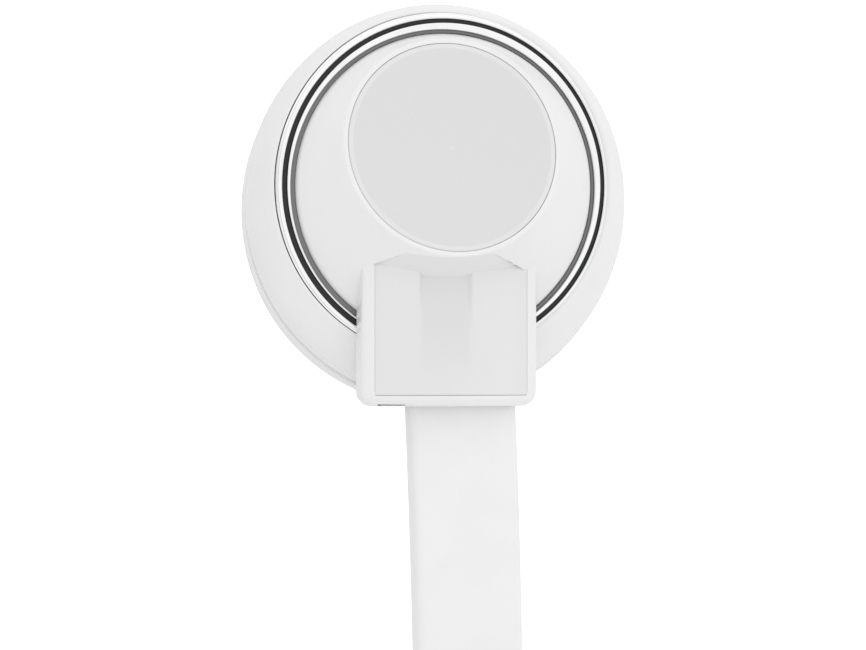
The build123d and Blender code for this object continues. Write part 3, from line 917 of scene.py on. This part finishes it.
@dataclass
class ChromeRing(SubAssembly):
    """The polished ring between the rear shell and the dome, open at the boot, and the dark strips in its grooves
    that are painted shade for the gaps there.
    """

    outer: float = 6.53
    depth: float = 0.35
    groove_depth: float = 0.2
    boot_reach: float = 3.25
    outer_groove: tuple[Circle, Circle] = (Circle(6.15, 0.06), Circle(6.295, 0.035, -0.02))
    inner_groove: tuple[Circle, Circle] = (Circle(5.81, 0.045, -0.06), Circle(5.95, 0.01, -0.08))
    outer_seal_top: float = 0.0
    inner_seal_top: float = -0.06

    def _carried(self, name: str, profile: list[tuple[Circle, float, float]]) -> Surface:
        """Carry a profile round the ring, from one side of the boot to the other.

        Args:
            name: The piece's name.
            profile: Rows of circle, height over the ring's plane and trim.

        Returns:
            The piece.
        """
        levels = [circle.at(self.ring_height + height, trim) for circle, height, trim in profile]
        angles = open_turn(math.asin(self.boot_reach / self.outer), 280)
        return self.piece(name, turned(levels, angles), Ends.LOOP, Ends.POLES)

    def surface(self) -> Surface:
        """Two flat-topped lands, with a groove between them and another beside the dome.

        The grooves are a little off centre, so that they are widest on the outer side of the pair.

        Returns:
            The ring.
        """
        (dome, inner), (near, far), rim = self.inner_groove, self.outer_groove, Circle(self.outer)
        floor = -self.groove_depth
        return self._carried("polished_ring", [
            (rim, -self.depth, 0.02), (rim, 0.0, 0.005), (rim.grown(-0.07), 0.09, 0.05), (far.grown(0.05), 0.1, 0.04),
            (far.grown(0.01), 0.05, 0.02), (far, floor, 0.01), (near, floor, 0.01),
            (near.grown(-0.01), 0.05, 0.02), (near.grown(-0.04), 0.08, 0.02), (inner.grown(0.03), 0.06, 0.02),
            (inner.grown(0.005), 0.02, 0.01), (inner, floor, 0.01), (dome, floor, 0.01), (dome, -self.depth, 0.02),
        ])

    def _seal(self, name: str, groove: tuple[Circle, Circle], top: float) -> Surface:
        """A flat dark strip of painted shade for a gap, filling a groove up to a height over the ring's plane."""
        (low, high), foot = groove, -self.groove_depth - 0.02
        return self._carried(name, [(low, foot, 0.0), (low, top, 0.02), (high, top, 0.02), (high, foot, 0.0)])

    def seal(self) -> Surface:
        """The outer groove's strip of painted dark shade."""
        return self._seal("outer_seal", self.outer_groove, self.outer_seal_top)

    def thin_seal(self) -> Surface:
        """The inner groove's strip of painted grey shade."""
        return self._seal("inner_seal", self.inner_groove, self.inner_seal_top)


# ---------------------------------------------------------------- dome and button
@dataclass
class Dome(SubAssembly):
    """The leaning dome and the button let into it. The lean is in degrees."""

    foot: Circle = Circle(5.795, 0.045, -0.06)
    spigot: Circle = Circle(5.3)
    edge_radius: float = 4.22
    bore_radius: float = 4.05
    button_radius: float = 4.043
    bore_depth: float = 0.86
    rise: float = 1.33
    shift: float = 1.41
    lean: float = 13.0
    dish: float = 0.16
    button_thickness: float = 0.5
    stem_radius: float = 1.1
    stem_length: float = 0.95
    button_edge: float = 0.08
    rim_width: float = 0.17
    scoop_shift: float = -0.32
    scoop_slope: float = 0.26
    scoop_top: float = -2.71
    scoop_bow: float = 17.4
    scoop_neck: float = 1.65
    scoop_spread: float = 2.27
    scoop_spread_start: float = -2.56
    scoop_widest: float = 3.05
    scoop_side_fade: float = 0.14
    scoop_top_fade: float = 0.08

    def _scooped(self, x: np.ndarray, y: np.ndarray) -> np.ndarray:
        """Where the scoop over the panel is: it widens from its top edge down to the panel.

        Args:
            x: Places along X.
            y: Places along Y.

        Returns:
            1 inside the scoop and 0 outside, with a narrow fade between.
        """
        half_width = self.scoop_neck + self.scoop_spread * np.maximum(self.scoop_spread_start - y, 0.0)
        room = np.minimum(half_width - np.abs(x - self.scoop_shift), self.scoop_widest - np.abs(x))
        below = linear_step(self._scoop_edge(x) - y, 0.0, self.scoop_top_fade)
        return smooth_step(room, 0.0, self.scoop_side_fade) * below

    def _scoop_edge(self, x: np.ndarray) -> np.ndarray:
        """The scoop's top edge, a shallow parabola across the dome's wall."""
        return self.scoop_top + (x - self.scoop_shift) ** 2 / self.scoop_bow

    def _leaning(self, depth: float, radius: float, trim: float = 0.0) -> Level:
        """A level square to the dome's leaning axis.

        Args:
            depth: Its place along that axis, from the edge of the button's bore upwards.
            radius: Its radius.
            trim: How far its corner is cut back.

        Returns:
            The level.
        """
        lean = math.radians(self.lean)
        height = self.ring_height + self.rise + depth * math.cos(lean)
        return Level(height, radius, 0.0, self.shift + depth * math.sin(lean), trim, self.lean)

    def shell(self) -> Surface:
        """The dome: straight sides from its round foot to a leaning circle, then the button's bore.

        Over the panel the side is cut back by a scoop, by its slope times the distance below its edge.

        Returns:
            The dome, marked where it is scooped for painted shade there.
        """
        ring = self.ring_height
        levels = [
            self.spigot.at(ring - 0.95, 0.05),
            self.spigot.at(ring - 0.35, 0.02),
            self.foot.at(ring - 0.35, 0.02),
            self.foot.at(ring + 0.02, 0.24),
            self._leaning(0.0, self.edge_radius, 0.06),
            self._leaning(0.0, self.bore_radius, 0.03),
            self._leaning(-self.bore_depth, self.bore_radius, 0.1),
            self._leaning(-self.bore_depth, 0.4 * self.bore_radius),
        ]
        beside_scoop, elsewhere = np.linspace(-140.0, -40.0, 200), np.linspace(-38.5, 218.5, 180)
        angles = np.radians(np.concatenate([beside_scoop, elsewhere]))
        rows = turned(levels, angles, closed=False, steps=8)
        wall = np.linalg.norm(np.diff(rows, axis=0), axis=-1).max(axis=1).argmax()
        share = np.linspace(0.0, 1.0, 80)[1:-1, None, None]
        rows = np.concatenate([rows[: wall + 1], rows[wall] * (1 - share) + rows[wall + 1] * share, rows[wall + 1 :]])
        # The scoop's mask cuts the wall back and also marks the painted shade in the scoop.
        hollow = self._scooped(rows[..., 0], rows[..., 1]) * (rows[..., 2] > ring)
        rows[..., 1] += self.scoop_slope * hollow * (self._scoop_edge(rows[..., 0]) - rows[..., 1])
        return self.piece("dome", rows, Ends.POLES, Ends.LOOP, hollow=hollow)

    def button(self) -> Surface:
        """The button: a disc with a rounded edge, a shallow dish and a stem below.

        The dish's depth at radius r is its full depth times one less the square of r over its own radius.

        Returns:
            The button, marked inside its rim for painted shade in its dish.
        """
        dish_radius = self.button_radius - 2.2 * self.button_edge
        shares = np.linspace(1.0, 0.03, 22)[1:]
        bottom = -self.button_thickness
        levels = [
            self._leaning(bottom - self.stem_length, self.stem_radius, 0.08),
            self._leaning(bottom, self.stem_radius, 0.08),
            self._leaning(bottom, self.button_radius, 0.05),
            self._leaning(0.0, self.button_radius, self.button_edge),
            self._leaning(0.0, dish_radius, 0.05),
            *(self._leaning(-self.dish * (1 - share**2), share * dish_radius) for share in shares),
        ]
        rows = turned(levels, full_turn(260), closed=False, steps=8)
        radius = np.linalg.norm(rows - rows.mean(axis=1, keepdims=True), axis=-1)
        # Painted shade: the dish inside the rim is marked to take a darker colour.
        hollow = linear_step(self.button_radius - self.rim_width - radius, 0.0, 0.05)
        return self.piece("press_button", rows, Ends.POLES, Ends.LOOP, hollow=hollow)


# ---------------------------------------------------------------- boot
@dataclass
class Boot(SubAssembly):
    """The block that the cord leaves by, with the glossy panel let into its top."""

    half_width: float = 3.42
    end: float = -8.34
    inner_end: float = -1.6
    lower_start: float = -5.75
    crown_rise: float = 1.66
    side_rise: float = 0.98
    base_drop: float = 1.6
    inner_base_drop: float = 0.5
    corner: float = 0.6
    edge: float = 0.38
    base_round: float = 0.15
    draft: float = 0.143
    panel_half_width: float = 2.97
    panel_end: float = -7.93
    panel_gap: float = 0.004
    panel_floor: float = 0.55
    panel_soft: float = 0.06
    recess_wall: float = 0.05
    slot_centre: tuple[float, float] = (0.67, -0.2)
    slot_half: tuple[float, float] = (2.2, 0.7)
    slot_depth: float = 1.22
    flute_half_width: float = 0.95
    flute_depth: float = 0.16
    flute_start: float = -3.1
    flute_end: float = -5.6
    flute_shift: float = -0.33
    flute_fade: float = 0.1
    dome_shift: float = 1.41
    dome_wall_radius: float = 4.33
    port_middle: float = -2.33
    port_length: float = 1.0
    port_height: float = 0.1
    port_turn: float = 58.0

    def crown(self, across: np.ndarray, lowered: np.ndarray | float = 0.0) -> np.ndarray:
        """Height of the crowned top: a circle's arc across the boot, less what an edge lowers it by.

        Args:
            across: Places across the boot.
            lowered: How much an edge lowers each of them.

        Returns:
            Heights over the table.
        """
        sag = self.crown_rise - self.side_rise
        curve = (self.half_width**2 + sag**2) / (2 * sag)
        return self.ring_height + self.crown_rise - curve + np.sqrt(curve**2 - across**2) - lowered

    def _stations(self) -> np.ndarray:
        """Places along the boot: close together at the step, at the recess's end and round the end."""
        recess = self.panel_end - self.panel_gap
        step = np.linspace(self.lower_start + 0.03, self.lower_start - 0.03, 5)
        wall = np.linspace(recess + self.recess_wall, recess, 6)
        turn = self.end + self.corner * (1.0 - np.sin(np.linspace(0.0, math.pi / 2, 18)))
        places = np.concatenate([np.linspace(self.inner_end, self.end + self.corner, 30), step, wall, turn])
        return np.unique(places)[::-1]

    def shell(self) -> Surface:
        """The boot: a crowned bar with rounded corners, a recess in its top and the cord's slot in its end.

        Rows run round the bar and columns along it.

        Returns:
            The boot.
        """
        along = self._stations()
        width = self.half_width - quarter_round(along, self.end, self.corner)
        lowered = quarter_round(along, self.end, self.edge)
        drop = np.where(along < self.lower_start, self.base_drop, self.inner_base_drop)
        base = self.ring_height - drop + quarter_round(along, self.end, self.base_round)
        recess = self.panel_end - self.panel_gap
        open_share = linear_step(along, recess, recess + self.recess_wall)
        rim = (self.panel_half_width + self.panel_gap) / self.half_width
        floor_x = np.linspace(rim, -rim, 15)[:, None] * width
        floor_z = self.crown(floor_x, lowered) * (1 - open_share) + (self.ring_height + self.panel_floor) * open_share
        waist = np.full_like(along, self.ring_height)

        def line(share: float, height: np.ndarray) -> np.ndarray:
            """One edge along the boot, at a share of its half width."""
            return np.stack([share * width, along, height], axis=-1)

        def upper_line(share: float) -> np.ndarray:
            """One edge along the crowned top."""
            return line(share, self.crown(abs(share) * width, lowered))

        foot = 1.0 - self.draft
        rows = np.stack([
            line(-foot, base), line(foot, base), line(1.0, waist), upper_line(1.0), upper_line(rim),
            *np.stack([floor_x, np.broadcast_to(along, floor_x.shape), floor_z], axis=-1),
            upper_line(-rim), upper_line(-1.0), line(-1.0, waist),
        ])
        trims = np.concatenate([[0.15, 0.15, 0.2, 0.2, 0.02, 0.02], np.zeros(13), [0.02, 0.02, 0.2, 0.2]])
        rows = rounded_rows(rows, trims, closed=True)
        return self.piece("boot", np.concatenate([rows, self._slot(rows[:, -1])], axis=1), Ends.LOOP, Ends.POLES)

    def _slot(self, outline: np.ndarray) -> np.ndarray:
        """The cord's slot, as more columns after the boot's end outline.

        The end face joins the outline to the slot point by point, each along the line from the slot's
        middle; the slot's edge stands at (|cos a / w|^8 + |sin a / h|^8)^(-1/8) from there.

        Args:
            outline: The last column of the boot's rows.

        Returns:
            The slot's columns.
        """
        middle = np.array([self.slot_centre[0], self.ring_height + self.slot_centre[1]])
        away = outline[:, [0, 2]] - middle
        angle = np.arctan2(away[:, 1], away[:, 0])
        round_it = np.stack([np.cos(angle), np.sin(angle)], axis=-1)
        columns = []
        for growth, back in ((0.06, 0.0), (0.02, 0.02), (0.0, 0.07), (0.0, self.slot_depth)):
            half = np.array(self.slot_half) + growth
            reach = (np.abs(round_it / half) ** 8).sum(axis=-1, keepdims=True) ** -0.125
            edge = middle + reach * round_it
            columns.append(np.stack([edge[:, 0], np.full(len(edge), self.end + back), edge[:, 1]], axis=-1))
        return np.stack(columns, axis=1)

    def _in_flute(self, x: np.ndarray, fade: float) -> np.ndarray:
        """1 between the flute's edges, 0 outside, with a straight line that far either side of them."""
        return linear_step(self.flute_half_width - np.abs(x - self.flute_shift), -fade, fade)

    def _panel_across(self) -> np.ndarray:
        """Places across the panel, close together at the flute's edges."""
        outer, inner = self.flute_half_width + 0.12, self.flute_half_width - 0.12
        low, high = -self.panel_half_width - self.flute_shift, self.panel_half_width - self.flute_shift
        return self.flute_shift + np.concatenate([
            np.linspace(low, -outer, 9)[:-1], np.linspace(-outer, -inner, 12), np.linspace(-inner, inner, 7)[1:-1],
            np.linspace(inner, outer, 12), np.linspace(outer, high, 9)[1:],
        ])

    def panel(self) -> Surface:
        """The panel: a crowned plate with softened edges and a thumb flute that fades towards its end.

        The flute's depth is its full depth times a smooth step across its edges and a slope along it.
        Its inner end follows the dome's wall, at the dome's shift less the root of the wall's radius
        squared less x squared.

        Returns:
            The panel, marked in the flute for painted shade that fades out towards its end.
        """
        across = self._panel_across()[:, None]
        share = np.unique(np.concatenate([np.linspace(0.0, 1.0, 60), np.linspace(0.985, 1.0, 8)]))
        inner = self.dome_shift - np.sqrt(self.dome_wall_radius**2 - across**2)
        along = inner + share * (self.panel_end - inner)
        top = self.crown(across) - quarter_round(along, self.panel_end, self.panel_soft)
        edge = self._in_flute(across, self.flute_fade)
        slope = linear_step(along, self.flute_end, self.flute_start)
        top = top - self.flute_depth * edge**2 * (3 - 2 * edge) * slope
        wide = np.broadcast_to(across, along.shape)
        plate = np.stack([wide, along, top], axis=-1)
        under = np.stack([wide, along, np.full_like(along, self.ring_height + self.panel_floor)], axis=-1)[::-1]
        rows = np.concatenate([plate, under])
        trims = np.zeros(len(rows))
        trims[[0, len(plate) - 1]] = 0.03
        rows = rounded_rows(rows, trims, closed=True)
        # Painted shade: the flute is marked darker, fading out towards the panel's end.
        fade_out = linear_step(rows[..., 1] - self.panel_end, 0.4, 2.6)
        hollow = self._in_flute(rows[..., 0], 1.5 * self.flute_fade) * fade_out
        return self.piece("glossy_panel", rows, Ends.LOOP, Ends.POLES, hollow=hollow)

    def listening_port(self) -> Surface:
        """The microphone's slit on the boot's lower edge: a dark pill, painted shade for the slit's opening, that
        follows the edge's round.

        Returns:
            The slit.
        """
        half_high, straight = self.port_height / 2, self.port_length - self.port_height
        angles = full_turn(48)
        pill_x = np.clip(np.cos(angles) * 0.75, -0.5, 0.5) * straight + np.cos(angles) * half_high
        taper = 0.65 - 0.35 * pill_x / (self.port_length / 2)
        pill_v = (np.sin(angles) * half_high * taper)[:, None]
        turn = math.radians(self.port_turn)
        normal = np.array([0.0, -math.sin(turn), math.cos(turn)])
        upward = np.array([0.0, math.cos(turn), math.sin(turn)])
        proud, sunk = 0.01, -0.01
        rows = []
        for scale, lift in ((1.0, -0.1), (1.0, proud), (0.86, proud), (0.8, sunk), (0.3, sunk)):
            x = self.port_middle + scale * pill_x
            edge = np.stack([x, np.full_like(x, self.end + self.edge), self.crown(x) - self.edge], axis=-1)
            rows.append(edge + scale * pill_v * upward + (self.edge + lift) * normal)
        return self.piece("listening_port", np.stack(rows), Ends.POLES, Ends.LOOP)


# ---------------------------------------------------------------- an earpiece
@dataclass
class Earpiece:
    """One earpiece: its shells, ring, dome, button, boot and tip, on its own place."""

    side: Side
    core_shift: float = -1.0
    ring_seat: float = 0.35

    def __post_init__(self) -> None:
        """Find the earpiece's place from its packed driver and ring, and size its sub-assemblies."""
        low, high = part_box(f"{self.side.word}_yoke")
        ring_low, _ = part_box(f"{self.side.word}_chrome_ring")
        centre = (low + high) / (2 * MM)
        self.ring_height = ring_low.z / MM + self.ring_seat
        self.origin = Vector((centre.x, centre.y - self.core_shift, 0.0))
        self.housing = Housing(self.side, self.ring_height)
        self.ring = ChromeRing(self.side, self.ring_height)
        self.dome = Dome(self.side, self.ring_height)
        self.boot = Boot(self.side, self.ring_height)

    def build(self) -> None:
        """Make and settle every piece of the earpiece."""
        word, body = self.side.word, "earphones"
        pieces: list[tuple[Callable[[], Surface], Finish, str, tuple[str, ...]]] = [
            (self.housing.rear, Finishes.white_shell, body, ("rear_shell",)),
            (self.housing.front, Finishes.white_shell, body, ("front_shell",)),
            (self.housing.near_contact, Finishes.gold_contact, body, ("charge_pins",)),
            (self.housing.far_contact, Finishes.gold_contact, body, ("charge_pins",)),
            (self.housing.ear_tip, Finishes.ear_tip_silicone, body, ("ear_tip",)),
            (self.ring.surface, Finishes.chrome_trim, body, ("chrome_ring",)),
            # Painted shade: the dark and grey strips in the ring's grooves stand in for its shadowed gaps.
            (self.ring.seal, Finishes.dark_seal, body, ()),
            (self.ring.thin_seal, Finishes.grey_seal, body, ()),
            (self.dome.shell, Finishes.white_gloss, body, ("outer_cover",)),
            (self.dome.button, Finishes.white_satin, f"{word}_button", ("button_cap",)),
            (self.boot.shell, Finishes.white_gloss, body, ("outer_cover",)),
            (self.boot.panel, Finishes.panel_gloss, body, ("boot_panel",)),
            # Painted shade: a dark pill stands in for the shadowed opening of the microphone slit.
            (self.boot.listening_port, Finishes.driver_plastic, body, ()),
        ]
        for make, finish, rides_on, nodes in pieces:
            made = make().build(finish, self.side, self.origin)
            settle(made, rides_on, finish, *(f"{word}_{node}" for node in nodes))

    def ring_centre(self) -> Vector:
        """The middle of the chrome ring, in metres."""
        return (self.origin + Vector((0.0, 0.0, self.ring_height))) * MM


# ---------------------------------------------------------------- flat cord
@dataclass
class NeckCord:
    """The flat cord from one boot to the other, its spare length wound on edge beside the earpieces.

    Lengths are in millimetres.
    """

    width: float = 4.15
    thickness: float = 1.2
    edge_round: float = 0.32
    left_route: tuple = (
        (16.67, -9.06, 11.6), (17.21, -21.46, 11.6), (19.4, -31.0, 2.075),
    )
    right_route: tuple = (
        (7.24, -61.51, 2.075), (3.1, -63.3, 2.075), (-3.5, -63.8, 2.075), (-9.8, -60.4, 2.075),
        (-14.1, -53.5, 2.075), (-15.2, -45.0, 2.2), (-15.2, -35.5, 5.4), (-15.6, -25.0, 5.4),
        (-16.9, -12.0, 11.6), (-16.67, -3.66, 11.6),
    )
    coil_centre: tuple[float, float, float] = (-2.0, -45.5, 2.075)
    coil_radius: float = 23.6
    coil_pitch: float = 1.6
    coil_start: float = 10.0
    coil_degrees: float = 1150.0
    turn_points: int = 20
    left_twist: tuple[float, float] = (13.5, 25.5)
    right_twist: tuple[float, float] = (41.0, 55.0)
    length: float = 0.535

    def _route(self) -> list[tuple[float, float, float]]:
        """The cord's points: down from the left boot, round the coil inwards, and up to the right boot."""
        turns = []
        count = round(self.coil_degrees / 360.0 * self.turn_points)
        outward = 1.0 / (0.75 + 0.25 * math.cos(FULL_TURN / self.turn_points))
        for index in range(count):
            wound = math.radians(self.coil_degrees) * index / count
            radius = (self.coil_radius - self.coil_pitch * wound / FULL_TURN) * outward
            angle = math.radians(self.coil_start) - wound
            x, y, z = self.coil_centre
            turns.append((x + radius * math.cos(angle), y + radius * math.sin(angle), z))
        return [*self.left_route, *turns, *self.right_route]

    def centreline(self) -> np.ndarray:
        """Points along the cord's NURBS spline, in millimetres.

        Returns:
            Points, n × 3.
        """
        route = self._route()
        curve = bpy.data.curves.new("cord_line", "CURVE")
        curve.dimensions = "3D"
        spline = curve.splines.new("NURBS")
        spline.points.add(len(route) - 1)
        spline.points.foreach_set("co", np.array([(*np.array(point) * MM, 1.0) for point in route]).ravel())
        spline.order_u = 3
        spline.use_endpoint_u = True
        curve.resolution_u = 10
        holder = bpy.data.objects.new("cord_line", curve)
        mesh = bpy.data.meshes.new_from_object(holder)
        points = np.zeros(len(mesh.vertices) * 3)
        mesh.vertices.foreach_get("co", points)
        bpy.data.objects.remove(holder)
        bpy.data.curves.remove(curve)
        bpy.data.meshes.remove(mesh)
        points = points.reshape(-1, 3) / MM
        fresh = np.concatenate([[True], np.linalg.norm(np.diff(points, axis=0), axis=1) > 1e-4])
        return points[fresh]

    def surface(self, line: np.ndarray) -> Surface:
        """The cord: a rounded rectangle carried along the line, turned on edge for the coil.

        The rectangle's long side lies across the line and level, and turns about the line by a quarter
        turn times a smooth step of the distance along it, back again before the right boot.

        Args:
            line: The centreline's points.

        Returns:
            The surface, which carries the distances along and round the cord.
        """
        heading = np.gradient(line, axis=0)
        heading /= np.linalg.norm(heading, axis=1, keepdims=True)
        steps = np.linalg.norm(np.diff(line, axis=0), axis=1)
        along = np.concatenate([[0.0], np.cumsum(steps)])
        level = np.cross((0.0, 0.0, 1.0), heading)
        level /= np.linalg.norm(level, axis=1, keepdims=True)
        upright = np.cross(heading, level)

        turned_up = smooth_step(along, *self.left_twist)
        still_up = smooth_step(along[-1] - along, *self.right_twist)
        turn = np.minimum(turned_up, still_up)[:, None] * math.pi / 2
        wide = np.cos(turn) * level + np.sin(turn) * upright
        thin = np.cos(turn) * upright - np.sin(turn) * level
        half_w, half_t = self.width / 2, self.thickness / 2
        corners = [
            (half_w, -half_t), (half_w, half_t), (0.0, half_t),
            (-half_w, half_t), (-half_w, -half_t), (0.0, -half_t),
        ]
        rows = np.stack([line + w * wide + t * thin for w, t in corners])
        rows = rounded_rows(rows, self.edge_round * np.array([1, 1, 0, 1, 1, 0]), closed=True)
        girth = np.linalg.norm(np.diff(rows, axis=0, prepend=rows[:1]), axis=-1).cumsum(axis=0)
        marks = {"along": np.broadcast_to(along, girth.shape).copy(), "around": girth}
        return Surface("neck_cord", rows, Ends.LOOP, Ends.POLES, marks)

    def build(self) -> None:
        """Make the cord between the two boots and hide the imported cord pieces that it stands for."""
        line = self.centreline()
        made = self.surface(line).build(Finishes.cord_rubber)
        settle(made, "earphones", Finishes.cord_rubber, "cord_left", "cord_coil", "cord_right")
        LOG.info("neck cord: %.1f mm long", np.linalg.norm(np.diff(line, axis=0), axis=1).sum())


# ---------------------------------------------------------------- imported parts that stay
@dataclass
class PackedParts:
    """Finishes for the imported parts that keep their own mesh."""

    def finishes(self) -> dict[str, Finish]:
        """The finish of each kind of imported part, by the last words of its name."""
        return {
            "nozzle_mesh": Finishes.steel_mesh,
            "driver_frame": Finishes.driver_plastic,
            "diaphragm": Finishes.diaphragm_film,
            "voice_coil": Finishes.copper_wire,
            "magnet": Finishes.magnet_metal,
            "yoke": Finishes.magnet_metal,
            "battery": Finishes.battery_steel,
            "circuit_board": Finishes.board_green,
            "tact_switch": Finishes.battery_steel,
            "cord_clamp": Finishes.driver_plastic,
            "microphone": Finishes.driver_plastic,
        }

    def dress(self) -> None:
        """Give each of them its finish."""
        for kind, finish in self.finishes().items():
            for side in Side:
                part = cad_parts[f"{side.word}_{kind}"]
                part.data.materials.clear()
                part.data.materials.append(finish.material())
                LOG.info("%s: %s", part.name, finish.name)


# ---------------------------------------------------------------- studio
@dataclass
class Studio:
    """Camera, pale floor and soft light. Millimetres and degrees."""

    tilt: float = 15.5
    distance: float = 260.0
    frame_width: float = 32.7
    aim_right: float = -0.38
    aim_up: float = -5.28
    sensor: float = 36.0
    floor_half: float = 400.0
    floor_glow: float = 0.5
    gap_axis: float = 15.5
    gap_darkness: float = 0.75
    side_bias: float = 0.05
    far_bias: float = 0.12
    far_lift: float = 0.1

    def place_camera(self, ring_centre: Vector) -> None:
        """Set the camera over the left earpiece.

        Args:
            ring_centre: The middle of its chrome ring, in metres.
        """
        tilt = math.radians(self.tilt)
        right = Vector((math.cos(tilt), 0.0, math.sin(tilt)))
        back = Vector((-math.sin(tilt), 0.0, math.cos(tilt)))
        up = Vector((0.0, 1.0, 0.0))
        target = ring_centre + (right * self.aim_right + up * self.aim_up) * MM
        lens = bpy.data.cameras.new("camera")
        lens.sensor_width = self.sensor
        lens.lens = self.sensor * self.distance / self.frame_width
        lens.clip_start = 0.005
        lens.clip_end = 10.0
        camera = bpy.data.objects.new("camera", lens)
        turn = Matrix((right, up, back)).transposed()
        camera.matrix_world = Matrix.Translation(target + back * (self.distance * MM)) @ turn.to_4x4()
        bpy.context.scene.collection.objects.link(camera)
        bpy.context.scene.camera = camera

    def lay_floor(self) -> None:
        """A plain pale floor at the table's height, lit evenly from within like a light table."""
        half = self.floor_half * MM
        mesh = bpy.data.meshes.new("pale_floor")
        corners = [(-half, -half, 0.0), (half, -half, 0.0), (half, half, 0.0), (-half, half, 0.0)]
        mesh.from_pydata(corners, [], [(0, 1, 2, 3)])
        floor = bpy.data.objects.new("pale_floor", mesh)
        bpy.context.scene.collection.objects.link(floor)
        material = bpy.data.materials.new("pale_floor")
        material.use_nodes = True
        board = NodeBoard(material.node_tree)
        grain = board.noise(board.place(), per_mm=0.05, detail=3.0)
        seen = board.value("ShaderNodeLightPath", "Is Camera Ray")
        shader = board.node(
            "ShaderNodeBsdfPrincipled", None,
            Base_Color=board.blend(grain, (0.88, 0.88, 0.88, 1.0), (0.9, 0.9, 0.9, 1.0)), Roughness=0.7,
            Emission_Color=(1.0, 1.0, 1.0, 1.0), Emission_Strength=seen * self.floor_glow,
        )
        board.node("ShaderNodeOutputMaterial", None, shader.outputs[0])
        mesh.materials.append(material)

    def light(self) -> None:
        """White tent light, with the dark gap round the overhead panel that only shines in reflections."""
        world = bpy.data.worlds.new("light_tent")
        bpy.context.scene.world = world
        world.use_nodes = True
        board = NodeBoard(world.node_tree)
        direction = board.value("ShaderNodeTexCoord", "Generated")
        lean = math.radians(self.gap_axis)
        axis = (math.sin(lean), 0.0, math.cos(lean))
        toward = board.value("ShaderNodeVectorMath", "Value", {"operation": "DOT_PRODUCT"}, direction, axis)
        x, y, _ = board.split(direction)
        to_the_side = abs(x).ramp(low=0.15, high=0.6)
        gap = toward.ramp(low=0.36, high=0.42) * toward.ramp(low=0.76, high=0.68)
        wider = toward.ramp(low=0.2, high=0.3) * toward.ramp(low=0.88, high=0.78)
        dark = gap.math("MAXIMUM", wider * to_the_side)
        reflected = board.value("ShaderNodeLightPath", "Is Glossy Ray")
        strength = 1.0 - dark * reflected * (1.0 - self.gap_darkness)
        seen = board.value("ShaderNodeLightPath", "Is Camera Ray")
        biased = strength * (1.0 + x * self.side_bias + y * self.far_bias + abs(y) * self.far_lift)
        shown = seen + (1.0 - seen) * biased
        background = board.node("ShaderNodeBackground", None, (1.0, 1.0, 1.0, 1.0), shown)
        board.node("ShaderNodeOutputWorld", None, background.outputs[0])

    def set_tone(self) -> None:
        """Plain tone, so that white stays white."""
        view = bpy.context.scene.view_settings
        view.view_transform = "Standard"
        view.look = "None"
        view.exposure = 0.0
        view.gamma = 1.0


def main() -> None:
    """Build the earphones, then the studio round them."""
    logging.basicConfig(level=logging.INFO, format="%(name)s: %(message)s")
    studio = Studio()
    left, right = (Earpiece(side) for side in Side)
    studio.place_camera(left.ring_centre())
    NeckCord().build()
    left.build()
    right.build()
    PackedParts().dress()
    studio.lay_floor()
    studio.light()
    studio.set_tone()


if __name__ == "__main__":
    main()
